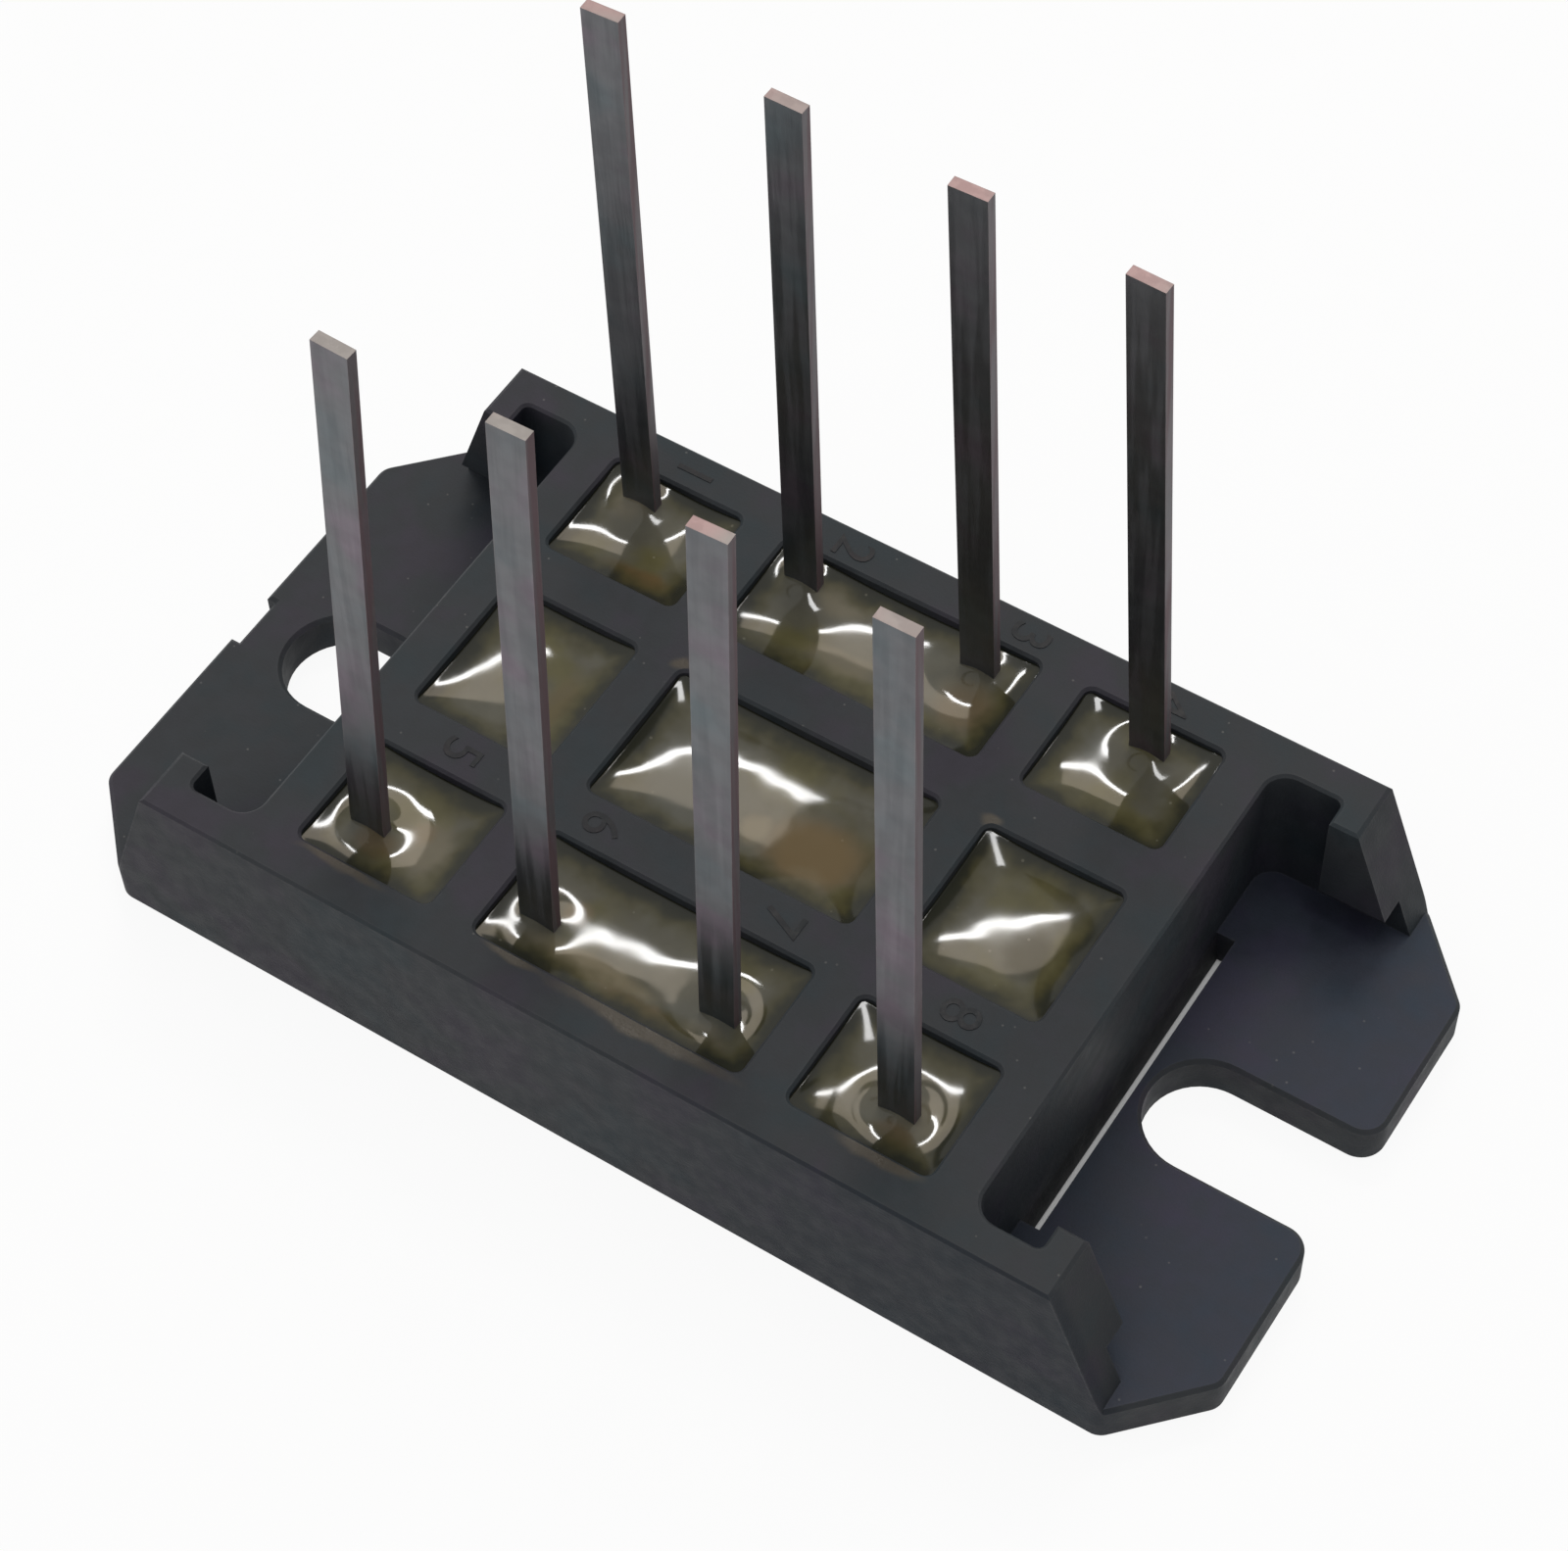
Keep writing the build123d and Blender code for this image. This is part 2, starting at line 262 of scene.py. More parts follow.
# %% [markdown]
# ### The sheet below the part
# The sheet could be lit until it turns white, but then the part would be lit too brightly.
# So it shows mostly as white by itself, and keeps a share of its own shading, in which the
# part's soft shadow still grounds it. Hardly any light gets down through the two narrow
# relief slots, so below the block the sheet's own white is taken away.

# %% The white sheet
sheet_half = 3.0             # metres, far past the part on every side
sheet_drop = 0.02 * MM       # how far it lies below the part, so that the faces don't fight
sheet_colour = (0.75, 0.75, 0.75, 1.0)
sheet_own_white = 0.92       # share that is plain white, and not shaded paper
shaded_white = 0.12          # what is left of it below the block
shaded_half = (21.0, 12.0)   # half the shaded place along X and Y, past both relief slots


def white_sheet_finish():
    """Paper that shows mostly as white, and keeps some of its own shading for shadows."""
    finish, tree, place = start_finish("white_sheet")
    fibres = fade(tree, clouds(tree, place, 3.0), 0.3, 0.7, 0.97, 1.0)
    paper = put(tree, "BsdfDiffuse", {"Color": shaded(tree, sheet_colour, fibres)})
    glow = put(tree, "Emission", {"Color": white, "Strength": 1.0})
    x, y = split(tree, place)[:2]
    past_end = calc(tree, "SUBTRACT", calc(tree, "ABSOLUTE", x), shaded_half[0])
    past_side = calc(tree, "SUBTRACT", calc(tree, "ABSOLUTE", y), shaded_half[1])
    outside = calc(tree, "MAXIMUM", past_end, past_side)
    own_white = fade(tree, outside, 0.0, 0.2, shaded_white, sheet_own_white)
    share = times(tree, seen_directly(tree), own_white)
    mixed = put(tree, "MixShader", {0: share, 1: paper.outputs[0], 2: glow.outputs[0]})
    put(tree, "OutputMaterial", {"Surface": mixed.outputs[0]})
    return finish


sheet_mesh = bpy.data.meshes.new("white_sheet")
signs = ((-1, -1), (1, -1), (1, 1), (-1, 1))
sheet_corners = [(sheet_half * x, sheet_half * y, -sheet_drop) for x, y in signs]
sheet_mesh.from_pydata(sheet_corners, [], [(0, 1, 2, 3)])
sheet_mesh.materials.append(white_sheet_finish())
sheet = put_in_scene("white_sheet", sheet_mesh)
print("white sheet", 2 * sheet_half, "m wide")

# %% [markdown]
# ## Lamps that draw the resin
# A glossy liquid is read by its highlights. The resin curves up at every wall and lead, and a
# long thin lamp mirrored in such a curve shows as a bright line. Where a lamp must stand
# follows from the mirror rule: the surface direction that should shine lies halfway between
# the camera and the lamp. So a lamp is placed by the slopes that should mirror it, written as
# rise per length along X and Y, and not by trial.

# %% A lamp placed by slopes
lamp_height = 0.5            # metres over the sheet


def mirrored_place(slope_x, slope_y):
    """Where a ray from the camera ends at lamp height, off resin that falls with these slopes."""
    direction = Vector((slope_x, slope_y, 1.0)).normalized()
    ray = 2 * direction.dot(towards_camera) * direction - towards_camera
    return ray * (lamp_height / ray.z)


def soft_lamp(name, first_slopes, last_slopes, width, brightness, tint):
    """A lamp that reaches from one mirrored place to another and faces the module."""
    start = mirrored_place(*first_slopes)
    end = mirrored_place(*last_slopes)
    data = bpy.data.lights.new(name, "AREA")
    data.shape = "RECTANGLE"
    data.size = (end - start).length
    data.size_y = width
    data.energy = brightness * math.pi * data.size * width
    data.color = tint
    lamp = put_in_scene(name, data)
    lamp.location = (start + end) / 2
    along = (end - start).normalized()
    outward = (lamp.location - along * along.dot(lamp.location)).normalized()
    axes = Matrix((along, outward.cross(along), outward)).transposed()
    lamp.rotation_mode = "QUATERNION"
    lamp.rotation_quaternion = axes.to_quaternion()
    print(name, "at", [round(side, 3) for side in lamp.location], "m")


# %% [markdown]
# One bright strip gives each window a line from its near left corner towards its far side.
# Beside it stands a wide dim lamp, warm in tint, that lays a pale sheen on each pool, on the
# near side of that line. It is built up from three lamps of growing width, so that its rim
# fades in steps. A second strip, almost overhead, picks out the corners of the windows.

# %% The lamps
soft_lamp("far_strip", (0.190, 0.062), (-0.040, -0.088), 0.018, 28.0, (1.0, 1.0, 1.0))
for step, sheen_width in enumerate((0.045, 0.075, 0.105)):
    name = "far_sheen_" + str(step + 1)
    soft_lamp(name, (0.165, 0.087), (-0.049, -0.033), sheen_width, 2.3, (1.0, 0.86, 0.68))
soft_lamp("overhead_strip", (0.15, -0.12), (0.33, -0.33), 0.030, 14.0, (1.0, 1.0, 1.0))

# %% [markdown]
# ## Shared effects
# Several finishes need the same small effects, so each is built once as a node group with
# named sockets, of which the first is always the place. A group hands out colours and masks
# only. The shader itself stays in the material, where its constant settings can be read at a
# glance.

# %% How to build a group
NUMBER = "NodeSocketFloat"
POINT = "NodeSocketVector"
COLOUR = "NodeSocketColor"


def new_group(name, inputs, **outputs):
    """An empty node group with named sockets: the tree, its inputs and its output node."""
    tree = bpy.data.node_groups.new(name, "ShaderNodeTree")
    tree.interface.new_socket("Place", in_out="INPUT", socket_type=POINT)
    for label, kind, value in inputs:
        socket = tree.interface.new_socket(label, in_out="INPUT", socket_type=kind)
        socket.default_value = value
    for label, kind in outputs.items():
        tree.interface.new_socket(label, in_out="OUTPUT", socket_type=kind)
    return tree, tree.nodes.new("NodeGroupInput").outputs, tree.nodes.new("NodeGroupOutput")


def hand_out(tree, output, **values):
    """Links values to a group's outputs by their names."""
    for label, value in values.items():
        tree.links.new(value, output.inputs[label])


print("groups can be built")

# %% [markdown]
# ### Drifting tints
# No moulded or plated surface has one colour. Its tint drifts over some millimetres, where
# the melt cooled differently or fingers touched it. A coarse layer of clouds moves the colour
# between three tints, and a fine one makes it a little lighter and darker.

# %% Drifting tints
def drifting_tints():
    inputs = [
        ("Cloud Size", NUMBER, 4.0),
        ("Plain Tint", COLOUR, white),
        ("Cool Tint", COLOUR, white),
        ("Warm Tint", COLOUR, white),
    ]
    tree, given, output = new_group("drifting_tints", inputs, Colour=COLOUR, Clouds=NUMBER)
    scale = calc(tree, "DIVIDE", 1.0, given["Cloud Size"])
    coarse = random_field(tree, given["Place"], scale, 3.0)[0]
    fine = random_field(tree, given["Place"], times(tree, scale, 4.3), 2.0)[0]
    cool = fade(tree, coarse, 0.5, 0.7)
    warm = fade(tree, coarse, 0.5, 0.32)
    colour = lay_over(tree, cool, given["Plain Tint"], given["Cool Tint"])
    colour = lay_over(tree, warm, colour, given["Warm Tint"])
    colour = shaded(tree, colour, fade(tree, fine, 0.3, 0.7, 0.93, 1.07))
    hand_out(tree, output, Colour=colour, Clouds=fine)
    return tree


tint_group = drifting_tints()
print("group:", tint_group.name)

# %% [markdown]
# ### Moulded grain
# The mould's eroded steel leaves a fine grain on plastic, and glass fibres near the skin add
# short faint streaks. Both are far finer than the shapes, so they are height for a bump.

# %% Moulded grain
def moulded_grain():
    inputs = [("Grain Size", NUMBER, 0.12), ("Fibre Share", NUMBER, 0.4)]
    tree, given, output = new_group("moulded_grain", inputs, Height=NUMBER)
    scale = calc(tree, "DIVIDE", 1.0, given["Grain Size"])
    grain = random_field(tree, given["Place"], scale, 3.0)[0]
    stretched = vector_calc(tree, "MULTIPLY", given["Place"], (1.6, 9.0, 9.0))
    fibres = random_field(tree, stretched, 1.0, 2.0)[0]
    fibres = times(tree, fibres, given["Fibre Share"])
    hand_out(tree, output, Height=calc(tree, "ADD", grain, fibres))
    return tree


grain_group = moulded_grain()
print("group:", grain_group.name)

# %% [markdown]
# ### Edge wear
# Handling and tumbling polish the outer edges first. The Bevel node rounds the surface
# direction near an edge, so where the rounded direction differs from the true one there is an
# edge. Clouds break the line up, because wear is never even.

# %% Edge wear
def edge_wear():
    inputs = [("Width", NUMBER, 0.2 * MM), ("Evenness", NUMBER, 0.5)]
    tree, given, output = new_group("edge_wear", inputs, Mask=NUMBER)
    rounded = put(tree, "Bevel", {"Radius": given["Width"]}, samples=6).outputs[0]
    true = put(tree, "NewGeometry").outputs["Normal"]
    alike = put(tree, "VectorMath", {0: rounded, 1: true}, operation="DOT_PRODUCT")
    edge = fade(tree, alike.outputs["Value"], 0.995, 0.9)
    patchy = fade(tree, clouds(tree, given["Place"], 1.4, 3.0), 0.35, 0.65)
    cover = calc(tree, "MAXIMUM", patchy, given["Evenness"])
    hand_out(tree, output, Mask=times(tree, edge, cover))
    return tree


wear_group = edge_wear()
print("group:", wear_group.name)

# %% [markdown]
# ### Settled dust
# Dust lies on what faces up, and gathers where a wall shelters it. The Ambient Occlusion node
# finds sheltered places, and a fine cell pattern makes single specks.

# %% Settled dust
def settled_dust():
    inputs = [("Speck Size", NUMBER, 0.35), ("Reach", NUMBER, 1.5 * MM)]
    tree, given, output = new_group("settled_dust", inputs, Film=NUMBER, Specks=NUMBER)
    upward = fade(tree, facing(tree)[2], 0.5, 0.95)
    open_sky = put(tree, "AmbientOcclusion", {"Distance": given["Reach"]}, samples=6).outputs["AO"]
    sheltered = fade(tree, open_sky, 0.95, 0.4)
    patchy = fade(tree, clouds(tree, given["Place"], 2.6, 3.0), 0.4, 0.7)
    film = times(tree, sheltered, upward, patchy)
    scale = calc(tree, "DIVIDE", 1.0, given["Speck Size"])
    cells = put(tree, "TexVoronoi", {"Vector": given["Place"], "Scale": scale})
    dots = fade(tree, cells.outputs["Distance"], 0.16, 0.08)
    cell_number = put(tree, "SeparateColor", {0: cells.outputs["Color"]}).outputs[0]
    rare = fade(tree, cell_number, 0.9, 0.94)
    specks = times(tree, dots, rare, upward)
    hand_out(tree, output, Film=film, Specks=specks)
    return tree


dust_group = settled_dust()
print("group:", dust_group.name)

# %% [markdown]
# ### Drawn lines
# Rolled and drawn metal carries fine lines along the direction in which it was pulled. The
# place is stretched before it reaches the noise, so the input says how much each axis counts.

# %% Drawn lines
def drawn_lines():
    inputs = [("Fineness", POINT, (10.0, 10.0, 0.4))]
    tree, given, output = new_group("drawn_lines", inputs, Height=NUMBER, Streaks=NUMBER)
    pulled = vector_calc(tree, "MULTIPLY", given["Place"], given["Fineness"])
    lines = random_field(tree, pulled, 1.0, 4.0)[0]
    broad = random_field(tree, pulled, 0.22, 2.0)[0]
    hand_out(tree, output, Height=lines, Streaks=fade(tree, broad, 0.35, 0.65))
    return tree


line_group = drawn_lines()
print("group:", line_group.name)

# %% [markdown]
# ### Soft patches
# Spilt resin, a stain or something that shows through a clear layer all make a patch with a
# soft and slightly wandering rim. The group measures how far a place is from the middle of
# the patch, after noise has pushed the place about a little.

# %% A soft patch
def soft_patch():
    inputs = [
        ("Middle", POINT, (0.0, 0.0, 0.0)),
        ("Spread", POINT, (1.0, 1.0, 1.0)),
        ("Warp", NUMBER, 0.8),
    ]
    tree, given, output = new_group("soft_patch", inputs, Mask=NUMBER)
    wander = random_field(tree, given["Place"], 0.6, 2.0)["Color"]
    centred = vector_calc(tree, "SUBTRACT", wander, (0.5, 0.5, 0.5))
    push = put(tree, "VectorMath", {0: centred, "Scale": given["Warp"]}, operation="SCALE")
    moved = vector_calc(tree, "ADD", given["Place"], push.outputs[0])
    offset = vector_calc(tree, "SUBTRACT", moved, given["Middle"])
    flat = vector_calc(tree, "MULTIPLY", offset, (1.0, 1.0, 0.0))
    share = vector_calc(tree, "DIVIDE", flat, given["Spread"])
    radius = put(tree, "VectorMath", {0: share}, operation="LENGTH").outputs["Value"]
    hand_out(tree, output, Mask=fade(tree, radius, 1.15, 0.45))
    return tree


patch_group = soft_patch()
print("group:", patch_group.name)

# %% [markdown]
# ## What every finish is made with
# A finish places the shared groups in its tree and ends in one Principled shader. Constant
# settings go straight on the shader, and only what changes over the surface arrives through
# links.

# %% From groups to a finish
def use_group(tree, group, place, sockets):
    """Puts a shared group into a tree, tells it the place, and returns its outputs."""
    return put(tree, "Group", {"Place": place, **sockets}, node_tree=group).outputs


def patch_mask(tree, place, x, y, half_x, half_y):
    """The mask of one soft patch, from its middle and its half width along X and Y."""
    sockets = {"Middle": (x, y, 0.0), "Spread": (half_x, half_y, 1.0)}
    return use_group(tree, patch_group, place, sockets)["Mask"]


def bumps(tree, height, depth, strength):
    """A bump of the given depth in millimetres."""
    sockets = {"Height": height, "Distance": depth * MM, "Strength": strength}
    return put(tree, "Bump", sockets).outputs[0]


def close_finish(tree, sockets):
    """The Principled shader with its settings, and the output."""
    shader = put(tree, "BsdfPrincipled", sockets)
    put(tree, "OutputMaterial", {"Surface": shader.outputs[0]})


def dress(finish, *names):
    """Gives CAD nodes a finish, through their own material slots."""
    for name in names:
        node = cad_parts[name]
        for slot in node.material_slots:
            slot.material = finish
    print(finish.name, "on", len(names), "nodes")


print("finishes can be made")

# %% [markdown]
# ## The moulded frame
# The frame is glass-filled plastic, almost black in the hand, and a mid-dark grey in bright
# soft light. Its skin is matt, with cool and faintly purple clouds, a fine grain, edges that
# are a shade lighter, and a little dust in sheltered corners. Some light and shade is painted
# into its colour: the low floors that face up at the right end are painted lighter and bluer,
# the front wall is painted darker towards the right end, and deep corners get painted shade.
# A very thin film of resin has crept over the rims of the front windows, which were poured a
# little too full.
#
# One flat colour would look like a toy. So the drifting tints are multiplied, one after
# another, by a tint for the painted light on the right floors, the painted shade on the front
# wall and the painted shade in deep corners, each through a mask that fades in over some
# millimetres. Wear, dust and resin are laid over the result.

# %% Plastic of the frame
# Painted light: the low floors that face up towards the right end are made lighter and bluer.
painted_floor_light_tint = (1.09, 1.12, 1.38, 1)
floor_light_along = (0.0, 30.0)     # where along X it fades in
floor_light_below = (9.0, 5.0)      # and at which height, from the top down
# Painted shade: the front wall is made darker towards the right end.
painted_front_shade_tint = (0.64, 0.68, 0.76, 1)
front_shade_along = (-5.0, 16.0)
front_shade_across = (-14.5, -15.5)  # only the wall at the front, reached along Y
# Painted shade: deep corners and recesses, found by Ambient Occlusion, are made darker.
painted_recess_shade = (0.60, 0.66, 0.74, 1)
recess_reach = 9.0 * MM      # how far around a place is searched for what shelters it
recess_light = (0.85, 0.38)  # share of open sky at which the tint starts and is full
worn_edge = (0.085, 0.088, 0.092, 1)
dust_film = (0.16, 0.15, 0.14, 1)
dust_specks = (0.30, 0.29, 0.27, 1)
spilt_resin = (0.085, 0.068, 0.045, 1)
# Where a thin film of resin lies on the frame: middle and half width along X and Y.
resin_spills = (
    (2.2, -13.75, 5.4, 0.55),
    (-4.8, -13.70, 1.8, 0.40),
    (14.9, -13.70, 2.4, 0.45),
    (-14.6, -13.65, 2.6, 0.40),
    (-7.5, 4.3, 0.5, 0.45),
    (9.7, 4.3, 0.7, 0.4),
)


def frame_plastic():
    finish, tree, place = start_finish("frame_plastic")
    tints = use_group(tree, tint_group, place, {
        "Cloud Size": 4.5,
        "Plain Tint": (0.036, 0.039, 0.043, 1),
        "Cool Tint": (0.031, 0.039, 0.044, 1),
        "Warm Tint": (0.041, 0.038, 0.048, 1),
    })
    grain = use_group(tree, grain_group, place, {"Grain Size": 0.14, "Fibre Share": 0.5})
    wear = use_group(tree, wear_group, place, {"Width": 0.22 * MM, "Evenness": 0.45})
    dust = use_group(tree, dust_group, place, {"Speck Size": 0.5, "Reach": 1.6 * MM})
    along, across, height = split(tree, place)
    upward = fade(tree, facing(tree)[2], 0.7, 0.95)
    # Painted light: upward floors towards the right end are made lighter and bluer.
    low_floor = times(tree, upward, fade(tree, height, *floor_light_below))
    floor_light_mask = times(tree, fade(tree, along, *floor_light_along), low_floor)
    colour = lay_over(tree, floor_light_mask, tints["Colour"], painted_floor_light_tint, "MULTIPLY")
    # Painted shade: the front wall grows darker towards the right end.
    front_wall = calc(tree, "SUBTRACT", fade(tree, across, *front_shade_across), upward)
    front_wall = fade(tree, front_wall, 0.0, 1.0)
    front_shade_mask = times(tree, fade(tree, along, *front_shade_along), front_wall)
    colour = lay_over(tree, front_shade_mask, colour, painted_front_shade_tint, "MULTIPLY")
    # Painted shade in deep corners, where Ambient Occlusion finds little open sky.
    sky = put(tree, "AmbientOcclusion", {"Distance": recess_reach}, samples=8, only_local=True)
    recess = fade(tree, sky.outputs["AO"], *recess_light)
    colour = lay_over(tree, recess, colour, painted_recess_shade, "MULTIPLY")
    colour = lay_thin(tree, wear["Mask"], 0.22, colour, worn_edge)
    colour = lay_thin(tree, dust["Film"], 0.06, colour, dust_film)
    colour = lay_thin(tree, dust["Specks"], 0.2, colour, dust_specks)
    rough = fade(tree, tints["Clouds"], 0.25, 0.75, 0.52, 0.66)
    rough = calc(tree, "SUBTRACT", rough, times(tree, wear["Mask"], 0.12))
    for spill_place in resin_spills:
        spill = times(tree, patch_mask(tree, place, *spill_place), upward, 0.6)
        colour = lay_over(tree, spill, colour, spilt_resin)
        rough = calc(tree, "SUBTRACT", rough, times(tree, spill, 0.45))
    close_finish(tree, {
        "Base Color": colour,
        "Roughness": rough,
        "Specular IOR Level": 0.14,
        "Normal": bumps(tree, grain["Height"], 0.02, 0.7),
    })
    return finish


frame_finish = frame_plastic()
dress(frame_finish, "housing")

# %% [markdown]
# ### The draft of the relief slots
# A blade in the mould leaves the narrow slot at each foot of the block. The blade has to pull
# out, so the slot is a little narrower below than above. The CAD slots have straight sides, so
# a thin wedge is added along the foot of the block: nothing wide at the top, and full width at
# the bottom.

# %% Wedges in the relief slots
block_half = 19.65           # half the block's length, where the slots begin
wedge_width = 0.2            # at the bottom
wedge_half_length = 9.22     # just past the slot's own ends
wedge_heights = (0.16, 2.3)  # bottom and top
wedge_sink = 0.03            # how deep the wedge reaches into the block


def slot_wedge(name, side):
    """A long wedge against one end of the block. The side is -1 for left and 1 for right."""
    foot, head = wedge_heights
    inner = side * (block_half - wedge_sink)
    profile = ((inner, foot), (side * (block_half + wedge_width), foot), (inner, head))
    points = [metres(x, y, z) for y in (-wedge_half_length, wedge_half_length) for x, z in profile]
    faces = [(0, 1, 2), (5, 4, 3), (0, 3, 4, 1), (1, 4, 5, 2), (2, 5, 3, 0)]
    if side < 0:
        faces = [tuple(reversed(face)) for face in faces]
    mesh = bpy.data.meshes.new(name)
    mesh.from_pydata(points, [], faces)
    mesh.materials.append(frame_finish)
    wedge = put_in_scene(name, mesh)
    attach(wedge, "root")


slot_wedge("left_slot_draft", -1)
slot_wedge("right_slot_draft", 1)
print("slots narrowed by", wedge_width, "mm at the bottom")

# %% [markdown]
# ## Tinned leads
# The leads are cut from copper ribbon that was tinned first. The wide faces have dull tin with
# fine lines along the ribbon. The slit edges and the cut tips are bare copper, which has gone
# pinkish brown. Which face is which can be read from its direction, so one finish serves.

# %% Tin over copper ribbon
slit_copper = (0.135, 0.085, 0.095, 1)
grey_tip = (0.34, 0.31, 0.29, 1)
pink_tip = (0.44, 0.29, 0.28, 1)
rubbed_copper = (0.26, 0.21, 0.21, 1)


def tinned_ribbon():
    finish, tree, place = start_finish("tinned_ribbon")
    lines = use_group(tree, line_group, place, {"Fineness": (9.0, 9.0, 0.35)})
    tints = use_group(tree, tint_group, place, {
        "Cloud Size": 5.0,
        "Plain Tint": (0.138, 0.140, 0.148, 1),
        "Cool Tint": (0.115, 0.136, 0.146, 1),
        "Warm Tint": (0.158, 0.132, 0.156, 1),
    })
    wear = use_group(tree, wear_group, place, {"Width": 0.12 * MM, "Evenness": 0.3})
    direction = facing(tree)
    slit_edge = fade(tree, calc(tree, "ABSOLUTE", direction[0]), 0.75, 0.95)
    cut_tip = fade(tree, direction[2], 0.6, 0.9)
    copper_share = fade(tree, lines["Streaks"], 0.0, 1.0, 0.35, 0.9)
    bare_edge = times(tree, slit_edge, copper_share)
    tip_tint = fade(tree, clouds(tree, place, 9.0), 0.42, 0.58)
    tip_colour = lay_over(tree, tip_tint, grey_tip, pink_tip)
    colour = lay_over(tree, bare_edge, tints["Colour"], slit_copper)
    colour = lay_thin(tree, cut_tip, 0.9, colour, tip_colour)
    colour = lay_thin(tree, wear["Mask"], 0.3, colour, rubbed_copper)
    rough = fade(tree, lines["Streaks"], 0.0, 1.0, 0.34, 0.46)
    dull = calc(tree, "MAXIMUM", cut_tip, slit_edge)
    rough = calc(tree, "ADD", rough, times(tree, dull, 0.2))
    close_finish(tree, {
        "Base Color": colour,
        "Metallic": fade(tree, dull, 0.0, 1.0, 0.94, 0.35),
        "Roughness": rough,
        "Normal": bumps(tree, lines["Height"], 0.008, 0.8),
    })
    return finish


lead_names = [f"lead_{number}" for number in range(1, 9)]
dress(tinned_ribbon(), *lead_names)

# %% [markdown]
# ## Copper
# The underside is a copper plate on a white ceramic, held in the frame by a bead of silicone.
# Copper comes rolled, so it has lines along the module, darker clouds where it was touched,
# and brighter edges. The same copper is used for the strips and the straps inside.

# %% Rolled copper
copper_oxide = (0.25, 0.12, 0.08, 1)
bright_copper = (0.80, 0.50, 0.36, 1)


def rolled_copper():
    finish, tree, place = start_finish("rolled_copper")
    lines = use_group(tree, line_group, place, {"Fineness": (0.5, 14.0, 14.0)})
    tints = use_group(tree, tint_group, place, {
        "Cloud Size": 6.0,
        "Plain Tint": (0.66, 0.36, 0.24, 1),
        "Cool Tint": (0.52, 0.30, 0.23, 1),
        "Warm Tint": (0.72, 0.38, 0.22, 1),
    })
    wear = use_group(tree, wear_group, place, {"Width": 0.15 * MM, "Evenness": 0.4})
    oxide = fade(tree, clouds(tree, place, 2.2, 5.0), 0.52, 0.72)
    colour = lay_thin(tree, oxide, 0.35, tints["Colour"], copper_oxide)
    colour = lay_thin(tree, wear["Mask"], 0.5, colour, bright_copper)
    rough = fade(tree, lines["Streaks"], 0.0, 1.0, 0.28, 0.42)
    rough = calc(tree, "ADD", rough, times(tree, oxide, 0.15))
    close_finish(tree, {
        "Base Color": colour,
        "Metallic": 1.0,
        "Roughness": rough,
        "Normal": bumps(tree, lines["Height"], 0.006, 0.8),
    })
    return finish


strap_names = [f"strap_{number}" for number in range(1, 5)]
strip_names = ["plus_strip", "ac_strip_1", "ac_strip_2", "minus_strip"]
dress(rolled_copper(), "base_copper", *strip_names, *strap_names)

# %% [markdown]
# ## Ceramic
# The plate between the copper and the strips insulates them and lets the heat through. It is
# fired from a fine powder, so it is matt, nearly white, and finer in grain than the plastic.
# The same grain group serves, with smaller grains and no fibres.

# %% White ceramic
ceramic_dust = (0.4, 0.38, 0.33, 1)


def white_ceramic():
    finish, tree, place = start_finish("white_ceramic")
    tints = use_group(tree, tint_group, place, {
        "Cloud Size": 3.0,
        "Plain Tint": (0.80, 0.79, 0.75, 1),
        "Cool Tint": (0.76, 0.77, 0.75, 1),
        "Warm Tint": (0.80, 0.77, 0.70, 1),
    })
    grain = use_group(tree, grain_group, place, {"Grain Size": 0.05, "Fibre Share": 0.0})
    dust = use_group(tree, dust_group, place, {"Speck Size": 0.4, "Reach": 1.0 * MM})
    colour = lay_thin(tree, dust["Film"], 0.3, tints["Colour"], ceramic_dust)
    close_finish(tree, {
        "Base Color": colour,
        "Roughness": fade(tree, grain["Height"], 0.3, 0.8, 0.45, 0.62),
        "Normal": bumps(tree, grain["Height"], 0.004, 0.6),
    })
    return finish


dress(white_ceramic(), "ceramic_plate")

# %% [markdown]
# ## Glue
# The bead is laid on by a nozzle and cures to a soft, half glossy rubber. Lumps of less than
# a millimetre give it its uneven sheen, and the resin poured later has stained it here and
# there.

# %% Silicone glue
grey_silicone = (0.42, 0.42, 0.40, 1)
pale_silicone = (0.55, 0.54, 0.50, 1)
resin_stain = (0.34, 0.30, 0.20, 1)


def silicone_glue():
    finish, tree, place = start_finish("silicone_glue")
    lumps = clouds(tree, place, 0.8, 3.0)
    colour = lay_over(tree, fade(tree, lumps, 0.35, 0.65), grey_silicone, pale_silicone)
    stains = fade(tree, clouds(tree, place, 3.0, 2.0), 0.55, 0.75)
    colour = lay_thin(tree, stains, 0.4, colour, resin_stain)
    close_finish(tree, {
        "Base Color": colour,
        "Roughness": fade(tree, lumps, 0.3, 0.7, 0.22, 0.4),
        "Normal": bumps(tree, lumps, 0.05, 0.8),
    })
    return finish


dress(silicone_glue(), "glue_bead")

# %% [markdown]
# ## Inside the resin
# The silicon dies and the solder that holds them are covered by the casting. They still get
# their true finishes, so that a cut-open view of the model looks right: a die is a smooth
# blue-grey square, and solder is a satin grey metal with a rippled skin.

# %% Silicon and solder
blue_silicon = (0.07, 0.075, 0.10, 1)
violet_silicon = (0.12, 0.10, 0.13, 1)
cool_solder = (0.48, 0.48, 0.49, 1)
warm_solder = (0.60, 0.59, 0.57, 1)


